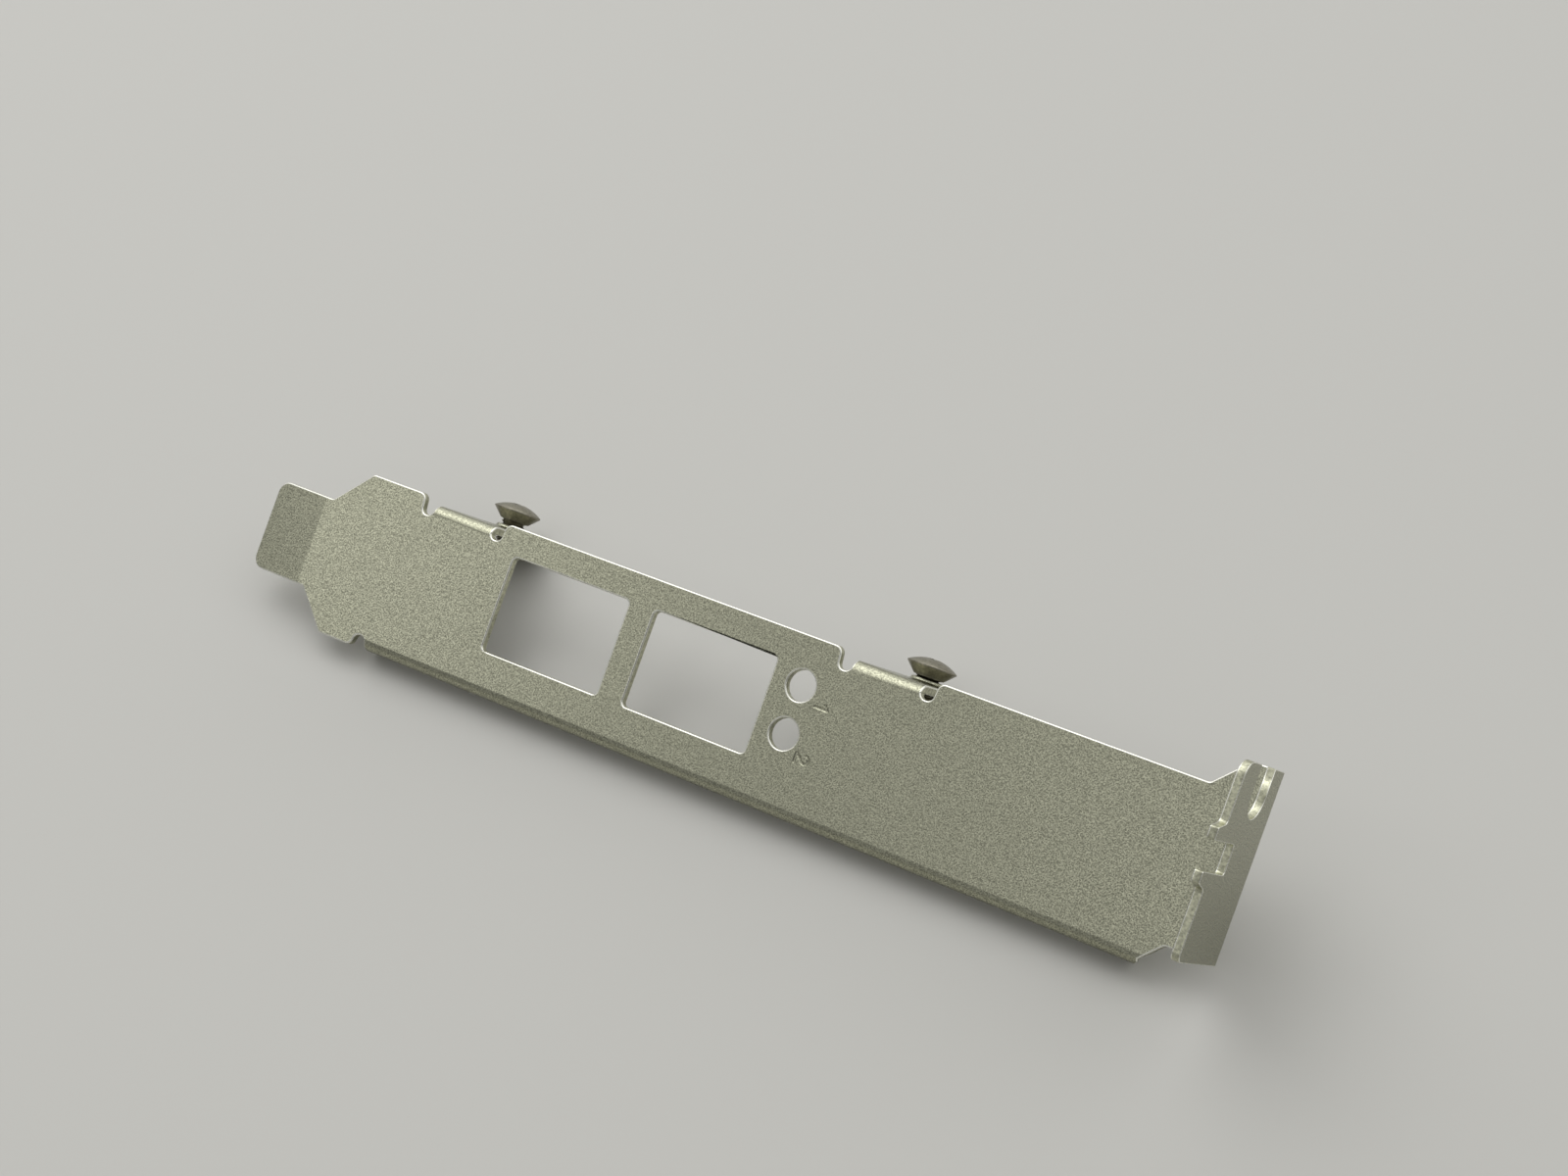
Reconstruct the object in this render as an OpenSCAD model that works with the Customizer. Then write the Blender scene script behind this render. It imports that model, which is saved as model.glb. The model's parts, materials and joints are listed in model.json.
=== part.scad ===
// Full-height slot bracket for a two-port network card: one folded steel sheet,
// and the two card screws that are kept in its board tabs.
//
// Inside the modules the bracket lies flat. X runs from the end of the tongue to the
// outer face of the flange, Y runs from the lipped edge to the tabbed edge, and the
// outer face of the plate is Z = 0. rest() then leans the whole part as it lies on a
// table, on the edge of its lip and the ends of its two tabs.

/* [Sheet] */
// Thickness of the sheet
sheet = 0.9; // [0.7:0.05:1.1]
// Radius on the inside of every right-angled fold
fold_r = 0.35; // [0.2:0.05:0.6]

/* [Plate] */
// Length from the end of the tongue to the outer face of the flange
length = 120.02; // [119:0.01:124]
// Width of the plate
width = 18.42; // [18:0.01:20]
// Radius on the small corners of the blank
corner_r = 0.6; // [0.3:0.05:0.9]

/* [Tongue] */
// Width of the tongue that slips behind the chassis
tongue_w = 10.19; // [8:0.01:12]
// Length of the tongue from its end to its fold
tongue_l = 7.5; // [5:0.1:9]
// Angle by which the tongue leans back
tongue_lean = 5; // [2:0.5:12]
// Radius on the inside of the tongue's shallow fold
tongue_fold_r = 4; // [2:0.5:6]
// Radius on the tongue's two end corners
tongue_corner_r = 1.4; // [0.5:0.1:2.5]
// Straight neck between the tongue's fold and the shoulders
neck_l = 0.6; // [0.3:0.1:2]

/* [Ports] */
// Width of a port opening, along the plate
port_w = 15.3; // [14:0.05:15.6]
// Height of a port opening, across the plate
port_h = 10.5; // [9:0.05:11]
// Distance from the end of the tongue to the first opening
port_x = 33.05; // [31.5:0.05:34]
// Distance from one opening to the next
port_pitch = 18.5; // [17.5:0.05:19]
// Distance from the lipped edge to the openings
port_y = 4.8; // [3:0.05:5.2]
// Radius in the corners of an opening
port_corner_r = 0.55; // [0.2:0.05:1.5]

/* [Lamp holes] */
// Diameter of a lamp hole
lamp_d = 3.3; // [2.5:0.05:4]
// Distance from the end of the tongue to the lamp holes
lamp_x = 70.35; // [69.5:0.05:75]
// Distance from the lipped edge to the first lamp hole
lamp_y = 8.2; // [4:0.05:9]
// Distance between the two lamp holes
lamp_pitch = 5.14; // [4.6:0.02:5.6]

/* [Board tabs] */
// Width of a board tab
tab_w = 8; // [6.5:0.1:9]
// Distance from the end of the tongue to the middle of the first tab
tab_x = 25.25; // [24:0.05:30]
// Distance from one tab to the next
tab_pitch = 53.7; // [50:0.05:60]
// How far the outer face of a tab lies inside the plate's edge
tab_inset = 0.72; // [0.5:0.02:1.2]
// Reach of a tab behind the outer face of the plate
tab_reach = 13.2; // [12.6:0.1:16]
// Radius on the end corners of a tab
tab_end_r = 2.2; // [0.5:0.1:3]
// Width of the relief slot beside a tab and at the start of the lip
relief_w = 1.4; // [1.3:0.05:2]
// How far a relief slot runs past the start of a fold
relief_run = 0.15; // [0.1:0.05:0.5]

/* [Screw seats] */
// Distance from the outer face of the plate to the screws
seat_reach = 9.6; // [8.5:0.05:10]
// Height of the drawn collar around a screw hole
collar_h = 0.42; // [0.2:0.02:0.6]
// Diameter of the collar at its top
collar_d = 3.4; // [3.2:0.05:4]

/* [Card screws] */
// Mean diameter of the screw's thread
screw_d = 2.7; // [2.4:0.05:2.9]
// Clearance around the thread in its hole
screw_fit = 0.05; // [0.02:0.01:0.1]
// Length of the screw from the rim of its head to its tip
screw_l = 5; // [4:0.5:10]
// Diameter of the screw's head
head_d = 5.3; // [4.5:0.05:6]
// Diameter of the head's cone where it ends on the shank
head_neck_d = 3.2; // [3:0.05:3.6]
// Height of the head's cone
head_cone_h = 1.05; // [0.6:0.05:1.4]
// Height of the dome on the head
dome_h = 0.8; // [0.4:0.05:1.1]
// Width of the slots of the cross recess
recess_w = 0.55; // [0.4:0.05:0.8]
// Length of the cross recess from end to end
recess_l = 2.1; // [1.6:0.1:2.6]
// Depth of the cross recess
recess_depth = 1.3; // [0.8:0.1:1.6]
// Gap between the first tab and the cone of its screw
screw_gap_1 = 1.05; // [0.65:0.05:1.5]
// Gap between the second tab and the cone of its screw
screw_gap_2 = 0.65; // [0.65:0.05:1.5]

/* [Lip] */
// Reach of the lip behind the outer face of the plate
lip_reach = 3; // [2:0.1:4]
// Distance from the end of the tongue to the start of the lip
lip_start = 18.4; // [17:0.1:20]
// Distance from the end of the lip to the outer face of the flange
lip_stop = 7.27; // [6:0.01:9]

/* [Flange] */
// Reach of the flange in front of the plate
flange_reach = 11.43; // [10.5:0.01:12]
// Width of the flange
flange_w = 18.89; // [18.2:0.01:19.5]
// How far the flange stands past the tabbed edge of the plate
flange_over = 3.17; // [2.5:0.01:3.6]
// Radius on the corner of the flange beside the screw slot
flange_corner_r = 1.6; // [0.6:0.1:2]
// Width of the notch in the flange's free edge
notch_w = 2.9; // [2:0.1:3.5]
// Distance from the lipped edge of the plate to the middle of the notch
notch_y = 12.55; // [11.8:0.05:13]
// Depth of the notch below the flange's free edge
notch_depth = 4.2; // [2:0.1:5]
// Height of the two teeth beside the notch
tooth_h = 1.9; // [0.8:0.1:2.4]
// Width of a tooth at its top
tooth_w = 1.15; // [0.9:0.05:1.5]

/* [Screw slot] */
// Width of the open slot for the chassis screw
slot_w = 4.42; // [3.6:0.02:5]
// Distance from the outer face of the plate to the middle of the slot
slot_reach = 5.3; // [4.6:0.05:6]
// Length of the slot from the end of the flange to its floor
slot_l = 5; // [4:0.05:6]

/* [Hidden] */
$fn = 48;

steel = "#a9a895";
screw_steel = "#8e897b";

arc_steps = 6;
// Overlap that lets a cut run clear of a face
cut = 1;

fold_out = fold_r + sheet;

// Tongue and shoulders
tongue_y = (width - tongue_w) / 2;
shoulder_x = tongue_l + neck_l;

// Tabs and their relief slots
tab_face = width - tab_inset;
tab_fold_y = tab_face - fold_out;
tab_xs = [tab_x, tab_x + tab_pitch];
relief_r = relief_w / 2 - 0.05;
relief_flare = 0.25;
mouth_r = 0.8;

// Flange
flange_top = width + flange_over;
flange_foot = flange_top - flange_w;
flange_fold_x = length - fold_out;
flange_foot_r = 0.8;
tooth_flare = 0.5;
tooth_corner_r = 0.2;
notch_r = 0.35;
lip_end = length - lip_stop;
lip_corner = 0.65;
flare_end = flange_fold_x - 2;

// Screws
screw_r = screw_d / 2;
hole_r = screw_r + screw_fit;
rim_h = 0.12;
tip_chamfer = 0.35;
head_r = head_d / 2;
dome_r = (head_r * head_r + dome_h * dome_h) / (2 * dome_h);

// The part lies on the lip's edge and on the inner edges of the tabs' ends
lean = atan((tab_reach - lip_reach) / (tab_face - sheet));
lift = lip_reach * cos(lean);
// Front and back of the leaning part: the flange's lower corner and the first screw's dome
front_y = (flange_foot + flange_foot_r) * cos(lean)
    - (flange_reach - flange_foot_r) * sin(lean) - flange_foot_r;
dome_top = tab_face + screw_gap_1 + head_cone_h + rim_h + dome_h;
back_y = (dome_top - dome_r) * cos(lean) + seat_reach * sin(lean) + dome_r;

function unit(v) = v / norm(v);

function turned(v, a) = [v[0] * cos(a) - v[1] * sin(a), v[0] * sin(a) + v[1] * cos(a)];

// One corner of an outline, as the points of the arc that rounds it
function corner(before, at, after) =
    let (
        tip = [at[0], at[1]],
        a = unit([before[0], before[1]] - tip),
        b = unit([after[0], after[1]] - tip),
        half = acos(a * b) / 2,
        mid = tip + unit(a + b) * at[2] / sin(half),
        first = tip + a * at[2] / tan(half) - mid,
        last = tip + b * at[2] / tan(half) - mid,
        side = sign(cross(first, last))
    )
    at[2] == 0
        ? [tip]
        : [for (k = [0:arc_steps]) mid + turned(first, side * (180 - 2 * half) * k / arc_steps)];

// An outline given as [x, y, corner radius] points
function rounded(pts) =
    let (n = len(pts))
    [for (i = [0:n - 1]) each corner(pts[(i + n - 1) % n], pts[i], pts[(i + 1) % n])];

// Flat of the plate, with a step at each tab and without the relief slots
function plate_outline() =
    let (step = (tab_w + relief_w) / 2)
    rounded([
        [tongue_l, tongue_y, 0],
        [shoulder_x, tongue_y, corner_r],
        [shoulder_x + tongue_y, 0, corner_r],
        [lip_start - relief_w / 2, 0, 0],
        [lip_start - relief_w / 2, fold_out, 0],
        [lip_end + fold_out - lip_corner, fold_out, 0],
        [lip_end + flange_foot - lip_corner, flange_foot, corner_r],
        [flange_fold_x, flange_foot, 0],
        [flange_fold_x, flange_top, 0],
        [flare_end, flange_top, corner_r],
        [flare_end - flange_over, width, corner_r],
        for (x = [tab_xs[1], tab_xs[0]])
            each [
                [x + step, width, 0],
                [x + step, tab_fold_y, 0],
                [x - step, tab_fold_y, 0],
                [x - step, width, 0],
            ],
        [shoulder_x + tongue_y, width, corner_r],
        [shoulder_x, width - tongue_y, corner_r],
        [tongue_l, width - tongue_y, 0],
    ]);

// A relief slot that runs up from its floor at Y = 0 to the plate's edge: its wall at
// X = 0 is the side of a tab, and its other wall ends in a round mouth
module relief(depth) {
    far = relief_w + relief_flare;
    side = [relief_flare, depth] / norm([relief_flare, depth]);
    mouth = corner([relief_w, 0], [far, depth, mouth_r], [far + cut, depth]);
    polygon(concat(
        [for (p = corner([0, depth], [0, 0, relief_r], [relief_w, 0])) p],
        [for (p = corner([0, 0], [relief_w, 0, relief_r], [far, depth])) p],
        mouth,
        [[mouth[arc_steps][0], depth + cut], [0, depth + cut]]
    ));
}

// The relief slots on both sides of every tab, and the one at the start of the lip
module reliefs() {
    tab_floor = tab_fold_y - relief_run;
    for (x = tab_xs)
        translate([x, tab_floor])
            for (side = [0, 1])
                mirror([side, 0])
                translate([tab_w / 2, 0])
                relief(width - tab_floor);
    translate([lip_start, fold_out + relief_run])
        rotate(180)
        relief(fold_out + relief_run);
}

// What is cut away past the end of the lip
module lip_end_cut() {
    polygon([
        [lip_end, -cut],
        [lip_end, lip_corner],
        [lip_end + fold_out, lip_corner + fold_out],
        [lip_end + 2 * fold_out, -cut],
    ]);
}

// A right-angled fold of the sheet: it arrives along +Y with its outer face at Z = 0 and
// turns down, and the fold line runs along X
module fold(run) {
    translate([0, 0, -fold_out])
        rotate([90, 0, 90])
        rotate_extrude(angle = 90)
        translate([fold_r, 0])
        square([sheet, run]);
}

module port(x) {
    translate([x, port_y, -sheet - cut])
        linear_extrude(sheet + 2 * cut)
        polygon(rounded([
            [0, 0, port_corner_r],
            [port_w, 0, port_corner_r],
            [port_w, port_h, port_corner_r],
            [0, port_h, port_corner_r],
        ]));
}

module lamp_hole(y) {
    translate([lamp_x, y, -sheet - cut])
        cylinder(d = lamp_d, h = sheet + 2 * cut);
}

module plate() {
    difference() {
        translate([0, 0, -sheet])
            linear_extrude(sheet)
            difference() {
                polygon(plate_outline());
                reliefs();
            }
        for (k = [0, 1]) {
            port(port_x + k * port_pitch);
            lamp_hole(lamp_y + k * lamp_pitch);
        }
    }
}

// Cuts a shape that is drawn on the plate right through the folds beside it
module cut_through() {
    difference() {
        children(0);
        translate([0, 0, -fold_out - cut])
            linear_extrude(fold_out + 2 * cut)
            children(1);
    }
}

// The tongue leans back from a shallow fold
module tongue() {
    turn_r = tongue_fold_r + sheet;
    leg = (tongue_l - turn_r * sin(tongue_lean)) / cos(tongue_lean);
    function bend(r, k) = turned([0, r], tongue_lean * k / arc_steps);
    translate([tongue_l, tongue_y + tongue_w, -turn_r])
        rotate([90, 0, 0])
        linear_extrude(tongue_w)
        polygon([
            for (k = [0:arc_steps]) bend(turn_r, k),
            for (k = [arc_steps:-1:0]) bend(tongue_fold_r, k),
        ]);
    translate([tongue_l, 0, -turn_r])
        rotate([0, -tongue_lean, 0])
        translate([0, tongue_y, tongue_fold_r])
        linear_extrude(sheet)
        polygon(rounded([
            [0, 0, 0],
            [0, tongue_w, 0],
            [-leg, tongue_w, tongue_corner_r],
            [-leg, 0, tongue_corner_r],
        ]));
}

// The stiffening lip along the lower edge
module lip() {
    from = lip_start - relief_w / 2;
    cut_through() {
        translate([from, fold_out, 0])
            mirror([0, 1, 0])
            fold(lip_end + fold_out - lip_corner - from);
        union() {
            reliefs();
            lip_end_cut();
        }
    }
    translate([lip_start, 0, -lip_reach])
        cube([lip_end - lip_start, sheet, lip_reach - fold_out]);
}

// Collar drawn out of the tab around its screw hole, with a hollow flare at its foot
module collar() {
    rotate_extrude()
        difference() {
            translate([0, -sheet / 2])
                square([collar_d / 2 + collar_h, collar_h + sheet / 2]);
            translate([collar_d / 2 + collar_h, collar_h])
                circle(r = collar_h);
        }
}

module board_tab(x) {
    step = (tab_w + relief_w) / 2;
    cut_through() {
        translate([x - step, tab_fold_y, 0])
            fold(2 * step);
        reliefs();
    }
    difference() {
        union() {
            translate([x, tab_face, 0])
                rotate([90, 0, 0])
                linear_extrude(sheet)
                polygon(rounded([
                    [-tab_w / 2, -fold_out, 0],
                    [-tab_w / 2, -tab_reach, tab_end_r],
                    [tab_w / 2, -tab_reach, tab_end_r],
                    [tab_w / 2, -fold_out, 0],
                ]));
            translate([x, tab_face, -seat_reach])
                rotate([-90, 0, 0])
                collar();
        }
        translate([x, tab_face + collar_h + cut, -seat_reach])
            rotate([90, 0, 0])
            cylinder(r = hole_r, h = sheet + collar_h + 2 * cut);
    }
}

// Outline of the flange in Y and Z, with the notch between two teeth in its free edge
function flange_outline() =
    let (
        top = flange_reach + tooth_h,
        half = notch_w / 2,
        reach = half + tooth_w
    )
    rounded([
        [flange_foot, fold_r, 0],
        [flange_foot, flange_reach, flange_foot_r],
        [notch_y - reach - tooth_flare, flange_reach, tooth_flare],
        [notch_y - reach, top, tooth_corner_r],
        [notch_y - half, top, tooth_corner_r],
        [notch_y - half, flange_reach - notch_depth, notch_r],
        [notch_y + half, flange_reach - notch_depth, notch_r],
        [notch_y + half, top, tooth_corner_r],
        [notch_y + reach, top, tooth_corner_r],
        [notch_y + reach + tooth_flare, flange_reach, tooth_flare],
        [flange_top, flange_reach, flange_corner_r],
        [flange_top, fold_r, 0],
    ]);

// The slot that the chassis screw holds down, open at the flange's end
module screw_slot() {
    floor_y = flange_top - slot_l + slot_w / 2;
    translate([length - sheet - cut, floor_y, slot_reach])
        rotate([0, 90, 0])
        cylinder(d = slot_w, h = sheet + 2 * cut);
    translate([length - sheet - cut, floor_y, slot_reach - slot_w / 2])
        cube([sheet + 2 * cut, slot_l, slot_w]);
}

module flange() {
    translate([flange_fold_x, flange_top, -sheet])
        mirror([0, 0, 1])
        rotate([0, 0, -90])
        fold(flange_w);
    difference() {
        translate([length - sheet, 0, 0])
            rotate([90, 0, 90])
            linear_extrude(sheet)
            polygon(flange_outline());
        screw_slot();
    }
}

module bracket() {
    color(steel)
        rest() {
            plate();
            tongue();
            lip();
            for (x = tab_xs)
                board_tab(x);
            flange();
        }
}

// Section of the raised countersunk head and its shank, from the axis outwards
module screw_section() {
    neck = -head_cone_h;
    tip = -screw_l;
    polygon([
        [0, tip],
        [screw_r - tip_chamfer, tip],
        [screw_r, tip + tip_chamfer],
        [screw_r, neck],
        [head_neck_d / 2, neck],
        [head_r, 0],
        [head_r, rim_h],
        [0, rim_h],
    ]);
    intersection() {
        translate([0, rim_h + dome_h - dome_r])
            circle(r = dome_r);
        translate([0, rim_h])
            square([head_r, dome_h + cut]);
    }
}

module cross_recess() {
    deep = rim_h + dome_h - recess_depth;
    intersection() {
        union() {
            for (a = [0, 90])
                rotate([0, 0, a])
                translate([-recess_l / 2, -recess_w / 2, deep])
                cube([recess_l, recess_w, recess_depth + cut]);
        }
        translate([0, 0, deep])
            cylinder(r1 = recess_w / 2, r2 = recess_l / 2 + cut, h = recess_depth + cut);
    }
}

// A card screw with its axis along Y and the start of its cone a gap away from the tab
module card_screw(x, gap) {
    color(screw_steel)
        rest()
        translate([x, tab_face + gap + head_cone_h, -seat_reach])
        rotate([-90, 0, 0])
        difference() {
            rotate_extrude()
                screw_section();
            cross_recess();
        }
}

module card_screw_1() {
    card_screw(tab_xs[0], screw_gap_1);
}

module card_screw_2() {
    card_screw(tab_xs[1], screw_gap_2);
}

// Leans the flat frame to the way the part lies, centred over the origin
module rest() {
    translate([-length / 2, -(front_y + back_y) / 2, lift])
        rotate([lean, 0, 0])
        children();
}

bracket();
card_screw_1();
card_screw_2();
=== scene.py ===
"""Finishes a folded slot bracket and its two card screws, and sets the table, lamps and camera."""

import json
import math

import bmesh
import bpy
from mathutils import Matrix, Vector


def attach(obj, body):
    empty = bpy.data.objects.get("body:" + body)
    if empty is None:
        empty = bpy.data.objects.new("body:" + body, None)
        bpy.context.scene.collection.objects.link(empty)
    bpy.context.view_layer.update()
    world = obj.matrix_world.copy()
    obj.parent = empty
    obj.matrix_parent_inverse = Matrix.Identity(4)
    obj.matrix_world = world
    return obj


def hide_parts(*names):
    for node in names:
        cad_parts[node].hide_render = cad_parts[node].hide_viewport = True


bl_info = {
    "name": "Slot Bracket Finish",
    "version": (1, 0, 0),
    "blender": (4, 5, 0),
    "location": "View3D > Sidebar > Bracket",
    "description": "Gives a folded slot bracket its rounded edges and plating, and sets a table and lamps",
    "category": "Object",
}

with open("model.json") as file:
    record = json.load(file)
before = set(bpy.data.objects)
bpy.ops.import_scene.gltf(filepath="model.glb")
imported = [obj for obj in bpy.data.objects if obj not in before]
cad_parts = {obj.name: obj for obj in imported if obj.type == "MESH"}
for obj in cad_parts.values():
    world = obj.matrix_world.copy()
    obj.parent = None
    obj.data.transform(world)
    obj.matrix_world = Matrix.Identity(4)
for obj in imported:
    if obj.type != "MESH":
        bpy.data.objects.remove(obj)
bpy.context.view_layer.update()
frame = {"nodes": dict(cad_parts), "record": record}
MM = 0.001


def sheet_axes():
    """Where the leaning plate is: its two lamp holes, its own three directions and its thickness."""
    holes = {m["name"]: m for m in frame["record"]["mounts"]}
    upper = holes["lamp_hole_1"]
    lower = holes["lamp_hole_2"]
    out = Vector(upper["axis"]).normalized()
    across = (Vector(upper["pos_m"]) - Vector(lower["pos_m"])).normalized()
    along = across.cross(out).normalized()
    thickness = upper["dims"]["length_mm"] * MM
    return Vector(upper["pos_m"]), Vector(lower["pos_m"]), along, across, out, thickness


LAMP_1, LAMP_2, ALONG, ACROSS, OUT, SHEET = sheet_axes()
# Faces that meet at less than this belong to one skin of the sheet
SMOOTH_FOLD = math.radians(50)
# Edges sharper than this stay crisp in the sheet and get rounded on the screws
SHARP_RIM = math.radians(28)
ROUNDED_RIM = math.radians(40)
WELD = 0.0008 * MM
SCREW_WELD = 0.0001 * MM
ONE_PLANE = math.radians(0.6)
SKIN_LEVEL = 0.02 * MM
# Which material each face of the sheet has; the rolled edges carry a painted highlight and the flange's
# face painted light in their colours
PLATED, BURNISHED_PAINTED_HIGHLIGHT, SHEARED, FLANGE_PAINTED_LIGHT = range(4)

# The end of the lip, along the bracket and across it from the upper lamp hole, and how it slants back
LIP_END = (42.4 * MM, -13.34 * MM)
LIP_SLANT_TOP = 0.5 * MM
LIP_SLANT = math.radians(30)
LIP_WEDGE_SIZE = 3.2 * MM
LIP_WEDGE_WIDTH = 2.1 * MM
LIP_WEDGE_SHIFT = 0.3 * MM

# The pressed digits: strokes to the right of their middle and up from it, in millimetres at the drawn
# height, where up is along the bracket; then each middle from its own lamp hole
DRAWN_HEIGHT = 1.5
STROKES_1 = (((-0.45, 0.35), (0, 0.75), (0, -0.75)),)
STROKES_2 = ((
    (-0.42, 0.42), (-0.3, 0.68), (0, 0.78), (0.32, 0.68), (0.45, 0.4), (0.35, 0.1), (-0.1, -0.35),
    (-0.48, -0.75), (0.5, -0.75)),)
DIGIT_1 = (1.49 * MM, 3.0 * MM)
DIGIT_2 = (1.7 * MM, 2.85 * MM)
DIGIT_TOOL = 0.25 * MM
DIGIT_REACH = 1.15 * MM
TOOL_SIDES = 14
TOOL_RINGS = 8

# The screw's turned section: radii, and heights above the start of its rim
HEAD_RADIUS = 2.65 * MM
NECK_RADIUS = 1.6 * MM
NECK_CHAMFER = 0.12 * MM
CONE_HEIGHT = 1.05 * MM
RIM_HEIGHT = 0.12 * MM
DOME_HEIGHT = 0.8 * MM
DOME_RINGS = 8
SCREW_LENGTH = 5 * MM
TIP_CHAMFER = 0.3 * MM
TURNED_STEPS = 72
# The thread: how far its foot is sunk, its bare ends, and its flank and crest as shares of the pitch
THREAD_STEPS = 30
THREAD_SUNK = 0.04 * MM
THREAD_LEAD = 0.15 * MM
THREAD_RUN_OUT = 0.02 * MM
THREAD_HALF = 0.46
THREAD_CREST = 0.12
# The cross recess: its arms at the top of the head, and how far they narrow on their way down
RECESS_LENGTH = 2.1 * MM
RECESS_WIDTH = 0.55 * MM
RECESS_DEPTH = 1.25 * MM
RECESS_ABOVE = 0.4 * MM
RECESS_FLOOR = 0.45
RECESS_WALL = 0.7

# The studio: the lamp, and the room's greys from its front wall to its back wall, at places from 0 to 1
WINDOW_FROM = (-0.345, 0.26, 0.61)
WINDOW_WIDTH = 0.62
TABLE_HALF_WIDTH = 3.0
ROOM_WALLS = ((0.0, 0.34), (0.12, 0.28), (0.27, 0.06), (0.5, 0.46), (0.74, 1.0))
# The height up to which the room's foot is dim, and how dim it is
ROOM_FOOT = (0.16, 0.25)
# Paler patches of the room: where they are, the cosines at their rim and core, how much paler
ROOM_PATCHES = (
    ((-0.62, -0.41, 0.67), 0.975, 0.998, 1.15),
    ((-0.22, -0.50, 0.85), 0.97, 0.998, 0.85))
CAMERA_AT = Vector((0.12985, -0.11563, 0.21941))
CAMERA_FORWARD = Vector((-0.4617, 0.4593, -0.7588))
CAMERA_UP = Vector((-0.3006, 0.7238, 0.6210))
SENSOR_WIDTH = 36


class BracketFinish(bpy.types.PropertyGroup):
    roll_over: bpy.props.FloatProperty(
        name="Roll-over", description="Radius that the punch leaves on the outer edges of the sheet",
        default=0.16 * MM, min=0.05 * MM, max=0.4 * MM, precision=5, unit="LENGTH", subtype="DISTANCE")
    back_round: bpy.props.FloatProperty(
        name="Back edges", description="Radius on the edges of the sheet's back",
        default=0.07 * MM, min=0.02 * MM, max=0.2 * MM, precision=5, unit="LENGTH", subtype="DISTANCE")
    digit_height: bpy.props.FloatProperty(
        name="Digit height", description="Height of the pressed digits beside the lamp holes",
        default=1.5 * MM, min=1 * MM, max=2.5 * MM, precision=5, unit="LENGTH", subtype="DISTANCE")
    digit_depth: bpy.props.FloatProperty(
        name="Digit depth", description="Depth of the pressed digits",
        default=0.08 * MM, min=0.01 * MM, max=0.15 * MM, precision=5, unit="LENGTH", subtype="DISTANCE")
    grain: bpy.props.FloatProperty(
        name="Grain", description="Width of the pebbles in the plated skin",
        default=0.16 * MM, min=0.05 * MM, max=0.6 * MM, precision=5, unit="LENGTH", subtype="DISTANCE")
    plating: bpy.props.FloatVectorProperty(
        name="Plating", description="Colour of the plated skin",
        default=(0.5, 0.5, 0.375), min=0, max=1, subtype="COLOR")
    # The rolled-over edges' colour is a painted highlight, much brighter than the plating, on their
    # smoother burnished skin
    painted_edge_highlight: bpy.props.FloatVectorProperty(
        name="Bright edge", description="Colour of the burnished, rolled-over edges",
        default=(0.80, 0.80, 0.72), min=0, max=1, subtype="COLOR")


class ScrewFinish(bpy.types.PropertyGroup):
    pitch: bpy.props.FloatProperty(
        name="Pitch", description="Pitch of the thread",
        default=0.5 * MM, min=0.3 * MM, max=0.8 * MM, precision=5, unit="LENGTH", subtype="DISTANCE")
    thread_diameter: bpy.props.FloatProperty(
        name="Thread diameter", description="Outer diameter of the thread",
        default=2.76 * MM, min=2.5 * MM, max=3 * MM, precision=5, unit="LENGTH", subtype="DISTANCE")
    core_diameter: bpy.props.FloatProperty(
        name="Core diameter", description="Diameter between the turns of the thread",
        default=2.3 * MM, min=1.8 * MM, max=2.7 * MM, precision=5, unit="LENGTH", subtype="DISTANCE")
    rim_round: bpy.props.FloatProperty(
        name="Rim round", description="Radius on the rim and the recess of the head",
        default=0.05 * MM, min=0.02 * MM, max=0.15 * MM, precision=5, unit="LENGTH", subtype="DISTANCE")
    head: bpy.props.FloatVectorProperty(
        name="Head", description="Colour of the plated head",
        default=(0.26, 0.245, 0.19), min=0, max=1, subtype="COLOR")


class StudioSetup(bpy.types.PropertyGroup):
    table: bpy.props.FloatVectorProperty(
        name="Table", description="Colour of the table",
        default=(0.545, 0.54, 0.508), min=0, max=1, subtype="COLOR")
    window: bpy.props.FloatProperty(
        name="Window", description="Power of the large soft lamp behind the bracket",
        default=1.5, min=0, max=20, unit="POWER")
    room: bpy.props.FloatProperty(
        name="Room", description="Brightness of the room around the table",
        default=1.32, min=0, max=3, subtype="NONE")
    lens: bpy.props.FloatProperty(
        name="Lens", description="Focal length on a 36 mm wide sensor",
        default=61.48, min=20, max=200, unit="CAMERA")


def node(tree, kind, **values):
    """A shader node with its settings, and its unlinked sockets by name."""
    made = tree.nodes.new(kind)
    for name, value in values.items():
        if hasattr(made, name):
            setattr(made, name, value)
        else:
            made.inputs[name.replace("_", " ").title()].default_value = value
    return made


def finish_of(name, colour, metallic, roughness):
    """A material with its even values on the shader's own sockets."""
    material = bpy.data.materials.new(name)
    material.use_nodes = True
    tree = material.node_tree
    shader = tree.nodes["Principled BSDF"]
    shader.inputs["Base Color"].default_value = (*colour, 1)
    shader.inputs["Metallic"].default_value = metallic
    shader.inputs["Roughness"].default_value = roughness
    return material, tree, shader


def pebbled(tree, place, width, distance, strength):
    """The plating's fine pebbles, as a height, and the bump that they give."""
    pebbles = node(tree, "ShaderNodeTexNoise", scale=1 / width, detail=3.0, roughness=0.75)
    tree.links.new(place, pebbles.inputs["Vector"])
    bump = node(tree, "ShaderNodeBump", distance=distance, strength=strength)
    tree.links.new(pebbles.outputs["Fac"], bump.inputs["Height"])
    return pebbles.outputs["Fac"], bump.outputs["Normal"]


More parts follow.
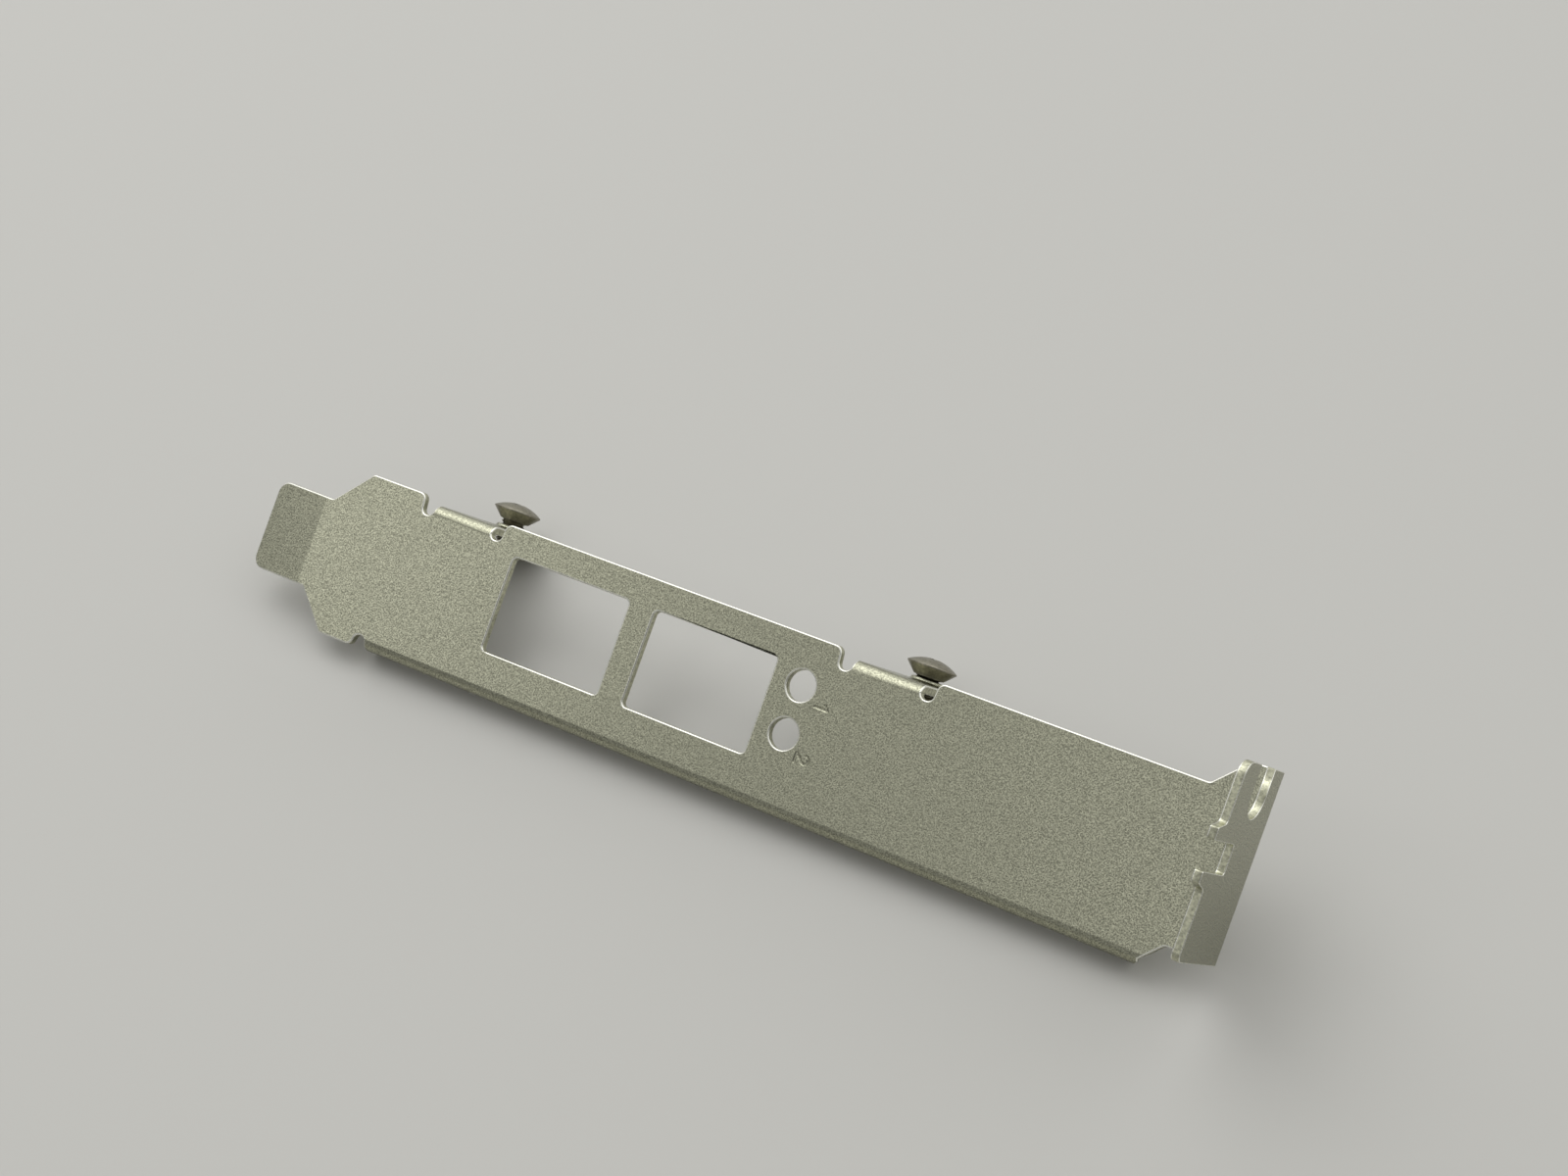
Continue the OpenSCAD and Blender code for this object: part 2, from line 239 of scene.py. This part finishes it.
def shaded(tree, factor, dark, light, low, high):
    """A colour that runs from dark to light as a factor runs from low to high."""
    ramp = tree.nodes.new("ShaderNodeValToRGB")
    ramp.color_ramp.elements[0].position = low
    ramp.color_ramp.elements[0].color = (*dark, 1)
    ramp.color_ramp.elements[1].position = high
    ramp.color_ramp.elements[1].color = (*light, 1)
    tree.links.new(factor, ramp.inputs["Fac"])
    return ramp.outputs["Color"]


def ranged(tree, value, low, high, to_low, to_high):
    """A value carried over from one range to another, and held at that range's ends."""
    span = tree.nodes.new("ShaderNodeMapRange")
    for name, number in (("From Min", low), ("From Max", high), ("To Min", to_low), ("To Max", to_high)):
        span.inputs[name].default_value = number
    tree.links.new(value, span.inputs["Value"])
    return span.outputs["Result"]


def scaled(colour, share):
    return tuple(min(1, share * channel) for channel in colour)


def grained_metal(name, colour, grain, bump, tones, rough):
    """A plated metal whose fine grain shows in its surface, its tone and its roughness.

    bump is a depth and a strength. tones are the darkest and lightest share of the colour, and rough is
    the roughness, each with the grain heights between which it changes.
    """
    material, tree, shader = finish_of(name, colour, 1.0, rough[2])
    place = tree.nodes.new("ShaderNodeTexCoord").outputs["Object"]
    height, normal = pebbled(tree, place, grain, *bump)
    if tones:
        dark, light, low, high = tones
        tone = shaded(tree, height, scaled(colour, dark), scaled(colour, light), low, high)
        tree.links.new(tone, shader.inputs["Base Color"])
    tree.links.new(ranged(tree, height, *rough), shader.inputs["Roughness"])
    tree.links.new(normal, shader.inputs["Normal"])
    return material, tree, place, normal


def plated_skin(look):
    """The matt, pebbled plating on the rolled faces of the sheet, calmer towards the tongue."""
    material, tree, place, normal = grained_metal(
        "plated_skin", look.plating, look.grain, (0.012 * MM, 0.5), (0.42, 0.98, 0.38, 0.62),
        (0.3, 0.7, 0.34, 0.2))
    split = tree.nodes.new("ShaderNodeSeparateXYZ")
    tree.links.new(place, split.inputs["Vector"])
    tree.links.new(ranged(tree, split.outputs["X"], -0.05, 0.05, 0.35, 0.9), normal.node.inputs["Strength"])
    return material


def flange_smooth_painted_light(look):
    """The smoother plating on the outer face of the flange, with painted light: its colour is the plating
    made a fifth brighter.
    """
    return finish_of("flange_smooth_painted_light", scaled(look.plating, 1.2), 1.0, 0.3)[0]


def burnished_edge_painted_highlight(look):
    """The smooth skin where the punch rolled the edges over, with a painted highlight: its colour is much
    brighter than the plating.
    """
    return grained_metal(
        "burnished_edge_painted_highlight", look.painted_edge_highlight, 3 * look.grain, (0.01 * MM, 0.25), None,
        (0.35, 0.7, 0.2, 0.36))[0]


def sheared_wall(look):
    """The plated but torn grain on the walls that the punch cut."""
    return grained_metal(
        "sheared_wall", scaled(look.plating, 0.95), 2.2 * look.grain, (0.04 * MM, 0.5),
        (0.62, 1.2, 0.33, 0.6), (0.3, 0.7, 0.5, 0.28))[0]


def screw_plating(look):
    """The darker plating of the screws, slightly uneven."""
    return grained_metal(
        "screw_plating", look.head, 0.3 * MM, (0.01 * MM, 0.35), (0.75, 1.2, 0.35, 0.65),
        (0.3, 0.7, 0.42, 0.28))[0]


def new_piece(name, mesh, materials):
    """A finished piece that rides on the bracket's body."""
    piece = bpy.data.objects.new(name, mesh)
    bpy.context.scene.collection.objects.link(piece)
    for material in materials:
        mesh.materials.append(material)
    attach(piece, "root")
    return piece


def soft_shaded(piece):
    """Even highlights: broad faces keep their own normal, and the rounds between them blend."""
    for face in piece.data.polygons:
        face.use_smooth = True
    blend = piece.modifiers.new("even_normals", "WEIGHTED_NORMAL")
    blend.mode = "FACE_AREA"
    blend.weight = 80
    blend.keep_sharp = True


def merged_sheet():
    """The bracket's own solid as one welded mesh, with each flat face in as few polygons as it can be."""
    mesh = bmesh.new()
    mesh.from_mesh(frame["nodes"]["bracket"].data)
    bmesh.ops.remove_doubles(mesh, verts=mesh.verts, dist=WELD)
    bmesh.ops.dissolve_limit(
        mesh, angle_limit=ONE_PLANE, use_dissolve_boundaries=False,
        verts=mesh.verts, edges=mesh.edges, delimit=set())
    return mesh


def at(along, across, out=0.0):
    """A point from the upper lamp hole's front rim: along the bracket, across it and out of its plate."""
    return LAMP_1 + OUT * (SHEET / 2 + out) + ALONG * along + ACROSS * across


def laid(origin, first, second, third):
    """The matrix that lays three directions at an origin."""
    return Matrix((
        (first.x, second.x, third.x, origin.x),
        (first.y, second.y, third.y, origin.y),
        (first.z, second.z, third.z, origin.z),
        (0, 0, 0, 1)))


def carved(mesh, cutters):
    """A mesh less each of its cutters, as a new mesh."""
    scene = bpy.context.scene
    body = bpy.data.objects.new("body", mesh)
    scene.collection.objects.link(body)
    tools = []
    for cutter in cutters:
        tool = bpy.data.objects.new("cutter", cutter)
        scene.collection.objects.link(tool)
        cut = body.modifiers.new("cut", "BOOLEAN")
        cut.operation = "DIFFERENCE"
        cut.solver = "EXACT"
        cut.use_self = True
        cut.object = tool
        tools.append(tool)
    bpy.context.view_layer.update()
    made = bpy.data.meshes.new_from_object(body.evaluated_get(bpy.context.evaluated_depsgraph_get()))
    for thing in (body, *tools):
        bpy.data.objects.remove(thing)
    made.materials.clear()
    return made


def mesh_of(mesh, name):
    """The mesh that an edited one becomes, which ends the edit."""
    data = bpy.data.meshes.new(name)
    mesh.to_mesh(data)
    mesh.free()
    return data


def groove(lines, radius, depth):
    """A round-nosed tool that runs along lines on the plate's face, to press them in."""
    mesh = bmesh.new()
    lift = OUT * (radius - depth)
    for line in lines:
        points = [point + lift for point in line]
        for point in points:
            bmesh.ops.create_uvsphere(
                mesh, u_segments=TOOL_SIDES, v_segments=TOOL_RINGS, radius=radius,
                matrix=Matrix.Translation(point))
        for start, stop in zip(points, points[1:]):
            way = stop - start
            turn = way.to_track_quat("Z", "Y").to_matrix().to_4x4()
            bmesh.ops.create_cone(
                mesh, cap_ends=True, segments=TOOL_SIDES, radius1=radius, radius2=radius,
                depth=way.length, matrix=Matrix.Translation((start + stop) / 2) @ turn)
    return mesh_of(mesh, "groove")


DIGIT_SPOTS = [
    at(up, (corner - LAMP_1).dot(ACROSS) - right)
    for corner, (right, up) in ((LAMP_1, DIGIT_1), (LAMP_2, DIGIT_2))]


def digit(strokes, corner, place, height):
    """A digit's strokes on the plate, beside a lamp hole."""
    scale = height / (DRAWN_HEIGHT * MM)
    right, up = place
    across = (corner - LAMP_1).dot(ACROSS)
    return [
        [at(up + scale * MM * u, across - right - scale * MM * r) for r, u in line] for line in strokes]


def lip_wedge():
    """What is cut away below the end of the lip, where it slants back."""
    mesh = bmesh.new()
    bmesh.ops.create_cube(mesh, size=1)
    shear = Matrix(((1, 0, math.tan(LIP_SLANT), 0), (0, 1, 0, 0), (0, 0, 1, 0), (0, 0, 0, 1)))
    corner = at(LIP_END[0], LIP_END[1] + LIP_WEDGE_SHIFT, -LIP_SLANT_TOP)
    half = LIP_WEDGE_SIZE / 2
    sized = Matrix.Translation((half, 0, -half)) @ Matrix.Diagonal(
        (LIP_WEDGE_SIZE, LIP_WEDGE_WIDTH, LIP_WEDGE_SIZE, 1))
    frame_at = laid(corner, ALONG, ACROSS, OUT)
    bmesh.ops.transform(mesh, matrix=frame_at @ shear @ sized, verts=mesh.verts)
    return mesh_of(mesh, "lip_wedge")


def skin_of(mesh, facing):
    """The faces that join smoothly onto the plate's faces that look one way."""
    level = (LAMP_1 + facing * SHEET / 2).dot(facing)
    found = {
        face for face in mesh.faces
        if face.normal.dot(facing) > 0.999
        and abs(face.calc_center_median().dot(facing) - level) < SKIN_LEVEL}
    rim = list(found)
    while rim:
        face = rim.pop()
        for edge in face.edges:
            if len(edge.link_faces) == 2 and edge.calc_face_angle() < SMOOTH_FOLD:
                for other in edge.link_faces:
                    if other not in found:
                        found.add(other)
                        rim.append(other)
    return found


def in_digit(vert):
    """Whether a point belongs to a pressed digit."""
    return any((vert.co - spot).length < DIGIT_REACH for spot in DIGIT_SPOTS)


def rolled(mesh, skin, radius, segments):
    """Rounds the outer edges between a skin and the cut walls."""
    edges = [
        e for e in mesh.edges
        if len(e.link_faces) == 2 and e.is_convex and e.calc_face_angle() > SMOOTH_FOLD
        and (e.link_faces[0] in skin) != (e.link_faces[1] in skin)
        and not any(in_digit(vert) for vert in e.verts)]
    made = bmesh.ops.bevel(
        mesh, geom=edges, offset=radius, offset_type="OFFSET", affect="EDGES", segments=segments,
        profile=0.5, material=-1, clamp_overlap=False, loop_slide=True)
    # The rounds get the edge material, whose bright colour is a painted highlight
    for face in made["faces"]:
        face.material_index = BURNISHED_PAINTED_HIGHLIGHT


def screw_place(name):
    """The start of a screw's rim on its axis, from its own solid."""
    spots = [v.co for v in frame["nodes"][name].data.vertices]
    sides = [[spot.dot(way) for spot in spots] for way in (ALONG, ACROSS, OUT)]
    along, out = ((min(side) + max(side)) / 2 for side in (sides[0], sides[2]))
    across = min(sides[1]) + SCREW_LENGTH
    return ALONG * along + ACROSS * across + OUT * out


def turned_screw(look):
    """The screw's body, turned about Z, with its head up."""
    core = look.core_diameter / 2
    dome_radius = (HEAD_RADIUS ** 2 + DOME_HEIGHT ** 2) / (2 * DOME_HEIGHT)
    section = [
        (0, -SCREW_LENGTH), (core - TIP_CHAMFER, -SCREW_LENGTH), (core, TIP_CHAMFER - SCREW_LENGTH),
        (core, -CONE_HEIGHT - NECK_CHAMFER), (NECK_RADIUS - NECK_CHAMFER, -CONE_HEIGHT),
        (NECK_RADIUS, -CONE_HEIGHT), (HEAD_RADIUS, 0), (HEAD_RADIUS, RIM_HEIGHT)]
    dome_centre = RIM_HEIGHT + DOME_HEIGHT - dome_radius
    for step in range(1, DOME_RINGS + 1):
        radius = HEAD_RADIUS * (1 - step / DOME_RINGS)
        section.append((radius, dome_centre + math.sqrt(dome_radius ** 2 - radius ** 2)))
    mesh = bmesh.new()
    points = [mesh.verts.new((radius, 0, height)) for radius, height in section]
    lines = [mesh.edges.new(pair) for pair in zip(points, points[1:])]
    bmesh.ops.spin(
        mesh, geom=points + lines, cent=(0, 0, 0), axis=(0, 0, 1), dvec=(0, 0, 0),
        angle=2 * math.pi, steps=TURNED_STEPS, use_merge=True, use_duplicate=False)
    bmesh.ops.remove_doubles(mesh, verts=mesh.verts, dist=SCREW_WELD)
    bmesh.ops.recalc_face_normals(mesh, faces=mesh.faces)
    return mesh_of(mesh, "turned_screw")


def recess_arm(angle):
    """One tapered arm of the cross recess."""
    mesh = bmesh.new()
    bmesh.ops.create_cube(mesh, size=1)
    tall = RECESS_DEPTH + RECESS_ABOVE
    middle = RIM_HEIGHT + DOME_HEIGHT + RECESS_ABOVE - tall / 2
    wide_top = 1 + RECESS_ABOVE / RECESS_DEPTH * (1 - RECESS_FLOOR)
    for vert in mesh.verts:
        narrow = RECESS_FLOOR if vert.co.z < 0 else wide_top
        vert.co = Vector((
            vert.co.x * RECESS_LENGTH * narrow,
            vert.co.y * RECESS_WIDTH * (RECESS_WALL + (1 - RECESS_WALL) * narrow),
            middle + vert.co.z * tall))
    bmesh.ops.rotate(mesh, cent=(0, 0, 0), matrix=Matrix.Rotation(angle, 3, "Z"), verts=mesh.verts)
    return mesh_of(mesh, "recess_arm")


def thread_ridge(look):
    """The thread's ridge, spun up the shank."""
    outer = look.thread_diameter / 2
    foot = look.core_diameter / 2 - THREAD_SUNK
    half = THREAD_HALF * look.pitch
    crest = THREAD_CREST * half
    start = half - SCREW_LENGTH + THREAD_LEAD
    turns = (SCREW_LENGTH - CONE_HEIGHT - THREAD_LEAD - 2 * half - THREAD_RUN_OUT) / look.pitch
    steps = round(turns * THREAD_STEPS)
    mesh = bmesh.new()
    section = ((foot, -half), (outer, -crest), (outer, crest), (foot, half))
    points = [mesh.verts.new((radius, 0, start + height)) for radius, height in section]
    face = mesh.faces.new(points)
    bmesh.ops.spin(
        mesh, geom=[face], cent=(0, 0, 0), axis=(0, 0, 1), dvec=(0, 0, look.pitch / THREAD_STEPS),
        angle=2 * math.pi * steps / THREAD_STEPS, steps=steps, use_merge=False, use_duplicate=False)
    bmesh.ops.contextual_create(mesh, geom=[e for e in mesh.edges if len(e.link_faces) == 1])
    bmesh.ops.recalc_face_normals(mesh, faces=mesh.faces)
    return mesh_of(mesh, "thread_ridge")


def lit_room(setup):
    """A room that is dim in front and bright behind, with soft paler patches on its walls."""
    world = bpy.data.worlds.new("room")
    world.use_nodes = True
    tree = world.node_tree
    room = tree.nodes["Background"]
    room.inputs["Strength"].default_value = setup.room
    towards = tree.nodes.new("ShaderNodeTexCoord").outputs["Generated"]
    split = tree.nodes.new("ShaderNodeSeparateXYZ")
    tree.links.new(towards, split.inputs["Vector"])
    place = ranged(tree, split.outputs["Y"], -1, 1, 0, 1)
    ramp = tree.nodes.new("ShaderNodeValToRGB")
    ramp.color_ramp.interpolation = "EASE"
    while len(ramp.color_ramp.elements) < len(ROOM_WALLS):
        ramp.color_ramp.elements.new(0.5)
    for stop, (where, grey) in zip(ramp.color_ramp.elements, ROOM_WALLS):
        stop.position = where
        stop.color = (grey, grey, grey, 1)
    tree.links.new(place, ramp.inputs["Fac"])
    total = ramp.outputs["Color"]
    for centre, rim, core, paler in ROOM_PATCHES:
        near = tree.nodes.new("ShaderNodeVectorMath")
        near.operation = "DOT_PRODUCT"
        near.inputs[1].default_value = Vector(centre).normalized()
        tree.links.new(towards, near.inputs[0])
        patch = ranged(tree, near.outputs["Value"], rim, core, 0, paler)
        summed = tree.nodes.new("ShaderNodeVectorMath")
        summed.operation = "ADD"
        tree.links.new(total, summed.inputs[0])
        tree.links.new(patch, summed.inputs[1])
        total = summed.outputs["Vector"]
    foot = tree.nodes.new("ShaderNodeVectorMath")
    foot.operation = "MULTIPLY"
    tree.links.new(total, foot.inputs[0])
    tree.links.new(ranged(tree, split.outputs["Z"], 0, ROOM_FOOT[0], ROOM_FOOT[1], 1), foot.inputs[1])
    tree.links.new(foot.outputs["Vector"], room.inputs["Color"])
    return world


class BRACKET_OT_sheet(bpy.types.Operator):
    """Round the cut edges of the folded sheet, press its digits and plate it"""

    bl_idname = "bracket.sheet"
    bl_label = "Finish the folded sheet"

    def execute(self, context):
        look = context.scene.bracket_finish
        pressed = digit(STROKES_1, LAMP_1, DIGIT_1, look.digit_height)
        pressed += digit(STROKES_2, LAMP_2, DIGIT_2, look.digit_height)
        solid = carved(mesh_of(merged_sheet(), "sheet_solid"), [
            lip_wedge(), groove(pressed, DIGIT_TOOL, look.digit_depth)])
        mesh = bmesh.new()
        mesh.from_mesh(solid)
        front = skin_of(mesh, OUT)
        back = skin_of(mesh, -OUT)
        for face in mesh.faces:
            face.material_index = PLATED if face in front or face in back else SHEARED
            # The flange's outer face takes the flange material, whose brighter colour is painted light
            if face in front and face.normal.dot(ALONG) > 0.9:
                face.material_index = FLANGE_PAINTED_LIGHT
        rolled(mesh, back, look.back_round, 2)
        rolled(mesh, skin_of(mesh, OUT), look.roll_over, 3)
        for edge in mesh.edges:
            rounded = any(face.material_index == BURNISHED_PAINTED_HIGHLIGHT for face in edge.link_faces)
            edge.smooth = rounded or edge.calc_face_angle(0) < SHARP_RIM
        piece = new_piece(
            "folded_sheet", mesh_of(mesh, "folded_sheet"),
            [plated_skin(look), burnished_edge_painted_highlight(look), sheared_wall(look), flange_smooth_painted_light(look)])
        soft_shaded(piece)
        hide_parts("bracket")
        return {"FINISHED"}


class BRACKET_OT_screws(bpy.types.Operator):
    """Make the two card screws with their threads and cross recesses"""

    bl_idname = "bracket.screws"
    bl_label = "Make the card screws"

    def execute(self, context):
        look = context.scene.screw_finish
        material = screw_plating(look)
        body = carved(turned_screw(look), [recess_arm(0), recess_arm(math.pi / 2)])
        for name in ("card_screw_1", "card_screw_2"):
            mesh = bmesh.new()
            mesh.from_mesh(body)
            edges = [
                e for e in mesh.edges
                if len(e.link_faces) == 2 and e.calc_face_angle() > ROUNDED_RIM and e.is_convex]
            bmesh.ops.bevel(
                mesh, geom=edges, offset=look.rim_round, offset_type="OFFSET", affect="EDGES",
                segments=2, profile=0.5, material=-1, clamp_overlap=True, loop_slide=True)
            mesh.from_mesh(thread_ridge(look))
            place = laid(screw_place(name), ALONG, -OUT, ACROSS)
            bmesh.ops.transform(mesh, matrix=place, verts=mesh.verts)
            finished = "threaded_" + name
            piece = new_piece(finished, mesh_of(mesh, finished), [material])
            soft_shaded(piece)
            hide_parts(name)
        return {"FINISHED"}


class BRACKET_OT_studio(bpy.types.Operator):
    """Set the table, the lamps, the room and the camera"""

    bl_idname = "bracket.studio"
    bl_label = "Set the studio"

    def execute(self, context):
        setup = context.scene.studio_setup
        scene = context.scene
        scene.view_settings.view_transform = "Standard"
        mesh = bmesh.new()
        bmesh.ops.create_grid(mesh, x_segments=1, y_segments=1, size=TABLE_HALF_WIDTH)
        table = bpy.data.objects.new("table_top", mesh_of(mesh, "table_top"))
        scene.collection.objects.link(table)
        table.data.materials.append(finish_of("table_paint", setup.table, 0.0, 0.7)[0])

        scene.world = lit_room(setup)
        lamp = bpy.data.lights.new("window", "AREA")
        lamp.shape = "RECTANGLE"
        lamp.size = WINDOW_WIDTH
        lamp.size_y = WINDOW_WIDTH
        lamp.energy = setup.window
        window = bpy.data.objects.new("window", lamp)
        scene.collection.objects.link(window)
        window.location = WINDOW_FROM
        window.rotation_euler = (-Vector(WINDOW_FROM)).to_track_quat("-Z", "Y").to_euler()

        lens = bpy.data.cameras.new("camera")
        lens.sensor_width = SENSOR_WIDTH
        lens.lens = setup.lens
        lens.clip_start = 0.01
        camera = bpy.data.objects.new("camera", lens)
        scene.collection.objects.link(camera)
        forward = CAMERA_FORWARD.normalized()
        side = forward.cross(CAMERA_UP).normalized()
        camera.matrix_world = laid(CAMERA_AT, side, side.cross(forward), -forward)
        scene.camera = camera
        return {"FINISHED"}


class BRACKET_PT_panel(bpy.types.Panel):
    bl_label = "Slot Bracket"
    bl_idname = "BRACKET_PT_panel"
    bl_space_type = "VIEW_3D"
    bl_region_type = "UI"
    bl_category = "Bracket"

    def draw(self, context):
        titles = ("Sheet", "Screws", "Studio")
        for group, title in zip(GROUPS, titles):
            box = self.layout.box()
            box.label(text=title)
            settings = getattr(context.scene, group)
            for name in settings.__annotations__:
                box.prop(settings, name)
        for step in STEPS:
            self.layout.operator(step.bl_idname)


GROUPS = {"bracket_finish": BracketFinish, "screw_finish": ScrewFinish, "studio_setup": StudioSetup}
STEPS = (BRACKET_OT_sheet, BRACKET_OT_screws, BRACKET_OT_studio)


def register():
    for name, group in GROUPS.items():
        bpy.utils.register_class(group)
        setattr(bpy.types.Scene, name, bpy.props.PointerProperty(type=group))
    for step in STEPS:
        bpy.utils.register_class(step)
    bpy.utils.register_class(BRACKET_PT_panel)


def unregister():
    bpy.utils.unregister_class(BRACKET_PT_panel)
    for step in reversed(STEPS):
        bpy.utils.unregister_class(step)
    for name, group in GROUPS.items():
        delattr(bpy.types.Scene, name)
        bpy.utils.unregister_class(group)


def main():
    register()
    bpy.ops.bracket.sheet()
    bpy.ops.bracket.screws()
    bpy.ops.bracket.studio()


if __name__ == "__main__":
    main()
